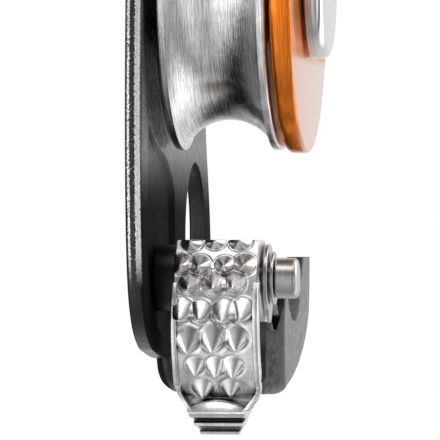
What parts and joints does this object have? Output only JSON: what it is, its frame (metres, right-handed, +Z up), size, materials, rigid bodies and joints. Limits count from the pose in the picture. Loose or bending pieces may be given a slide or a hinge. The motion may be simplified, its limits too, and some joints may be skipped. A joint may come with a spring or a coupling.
{
  "type": "rope grab",
  "caption": "Rope grab: a ball-bearing pulley with a toothed cam on a sprung pivot, a swinging side plate and a becket eye.",
  "frame": {"origin": "centre of the attachment eye, between the two side plates", "axes": "+X along the axle from the fixed plate to the swinging plate, -Y towards the cam, +Z up towards the eye"},
  "size_m": [0.0266, 0.0737, 0.1344],
  "materials": {
    "black_body": "black, blasted edges, semi-gloss",
    "orange_anodised": "orange anodised, satin",
    "turned_alloy": "fine turned",
    "cast_stainless": "cast and tumbled",
    "stainless": "satin",
    "polished_steel": "polished, turned",
    "bearing_steel": "ground",
    "spring_steel": "drawn wire",
    "bronze": "plain",
    "seal_rubber": "matt",
    "red_anodised": "red anodised, satin"
  },
  "bodies": {
    "frame": {"body": "black_body", "axle": "polished_steel", "axle_button": "polished_steel", "bearing_spacer": "stainless", "spacer_left": "stainless", "spacer_right": "stainless", "inner_race_left": "bearing_steel", "inner_race_right": "bearing_steel", "cam_pin": "stainless", "cam_lock_leaf": "stainless", "pin_washer": "stainless", "cam_washer": "black_body", "cam_spring": "spring_steel", "locking_stud": "polished_steel"},
    "wheel": {"sheave": "turned_alloy", "outer_race_left": "bearing_steel", "outer_race_right": "bearing_steel", "seal_left": "seal_rubber", "seal_right": "seal_rubber"},
    "ball_set": {"ball_left_1": "bearing_steel", "ball_left_2": "bearing_steel", "ball_left_3": "bearing_steel", "ball_left_4": "bearing_steel", "ball_left_5": "bearing_steel", "ball_left_6": "bearing_steel", "ball_left_7": "bearing_steel", "ball_left_8": "bearing_steel", "ball_right_1": "bearing_steel", "ball_right_2": "bearing_steel", "ball_right_3": "bearing_steel", "ball_right_4": "bearing_steel", "ball_right_5": "bearing_steel", "ball_right_6": "bearing_steel", "ball_right_7": "bearing_steel", "ball_right_8": "bearing_steel", "cage_left": "bronze", "cage_right": "bronze"},
    "swing_plate": {"side_plate": "orange_anodised", "side_plate_bush": "bronze", "catch_pin": "polished_steel", "catch_spring": "spring_steel"},
    "catch": {"catch_lever": "red_anodised"},
    "cam_set": {"cam": "cast_stainless", "cam_bush": "bronze"}
  },
  "joints": [
    {"name": "sheave_spin", "type": "hinge", "parent": "frame", "child": "wheel", "pos_m": [0, 0, -0.056], "axis": [1, 0, 0], "continuous": true},
    {"name": "ball_set_spin", "type": "hinge", "parent": "frame", "child": "ball_set", "pos_m": [0, 0, -0.056], "axis": [1, 0, 0], "continuous": true},
    {"name": "side_plate_swing", "type": "hinge", "parent": "frame", "child": "swing_plate", "pos_m": [0, 0, -0.056], "axis": [-1, 0, 0], "range_deg": [0, 100]},
    {"name": "catch_press", "type": "hinge", "parent": "swing_plate", "child": "catch", "pos_m": [0, 0.011, -0.0135], "axis": [-1, 0, 0], "range_deg": [0, 10], "stiffness_Nm_per_rad": 0.01, "springref_deg": -22.92},
    {"name": "cam_pivot", "type": "hinge", "parent": "frame", "child": "cam_set", "pos_m": [0, -0.0075, -0.0966], "axis": [-1, 0, 0], "range_deg": [0, 145]}
  ],
  "couplings": [
    {"joint": "ball_set_spin", "follows": "sheave_spin", "ratio": 0.5924}
  ]
}
